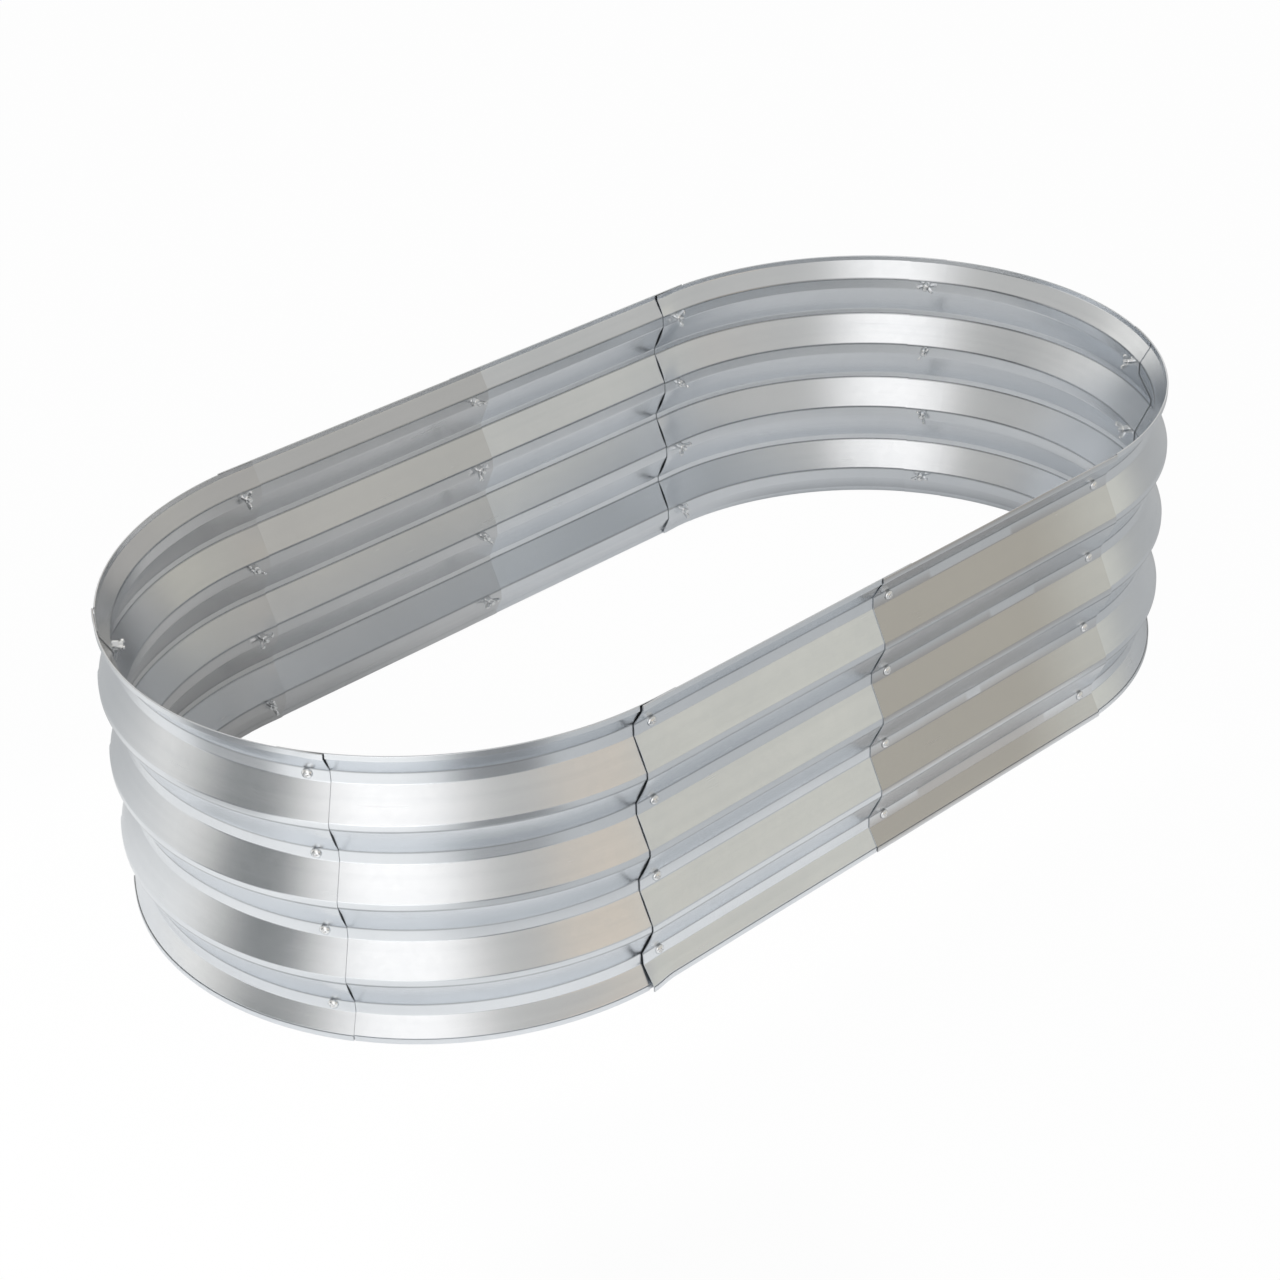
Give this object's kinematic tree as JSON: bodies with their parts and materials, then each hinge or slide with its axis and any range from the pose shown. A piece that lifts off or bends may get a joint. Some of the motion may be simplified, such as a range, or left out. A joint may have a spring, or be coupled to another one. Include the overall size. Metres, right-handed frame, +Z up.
{
  "type": "raised garden bed",
  "caption": "Oval raised garden bed of overlapping corrugated galvanised steel panels, open at top and bottom, bolted together at upright laps with wing nuts inside.",
  "frame": {"origin": "centre of the footprint, on the ground", "axes": "+X along the bed's long axis, +Y from the front side to the back side, +Z up"},
  "size_m": [1.2038, 0.6168, 0.3],
  "materials": {
    "galvanised_sheet": "bright galvanised, glossy, with a faint rolled grain",
    "zinc_plated_steel": "bright zinc plate"
  },
  "bodies": {
    "root": {"bolts_back_left": "zinc_plated_steel", "bolts_back_middle": "zinc_plated_steel", "bolts_back_right": "zinc_plated_steel", "bolts_end_left_back": "zinc_plated_steel", "bolts_end_left_front": "zinc_plated_steel", "bolts_end_right_back": "zinc_plated_steel", "bolts_end_right_front": "zinc_plated_steel", "bolts_front_left": "zinc_plated_steel", "bolts_front_middle": "zinc_plated_steel", "bolts_front_right": "zinc_plated_steel", "corner_back_left": "galvanised_sheet", "corner_back_right": "galvanised_sheet", "corner_front_left": "galvanised_sheet", "corner_front_right": "galvanised_sheet", "end_left": "galvanised_sheet", "end_right": "galvanised_sheet", "panel_back_left": "galvanised_sheet", "panel_back_right": "galvanised_sheet", "panel_front_left": "galvanised_sheet", "panel_front_right": "galvanised_sheet", "wing_nuts_back_left": "zinc_plated_steel", "wing_nuts_back_middle": "zinc_plated_steel", "wing_nuts_back_right": "zinc_plated_steel", "wing_nuts_end_left_back": "zinc_plated_steel", "wing_nuts_end_left_front": "zinc_plated_steel", "wing_nuts_end_right_back": "zinc_plated_steel", "wing_nuts_end_right_front": "zinc_plated_steel", "wing_nuts_front_left": "zinc_plated_steel", "wing_nuts_front_middle": "zinc_plated_steel", "wing_nuts_front_right": "zinc_plated_steel"}
  },
  "joints": []
}
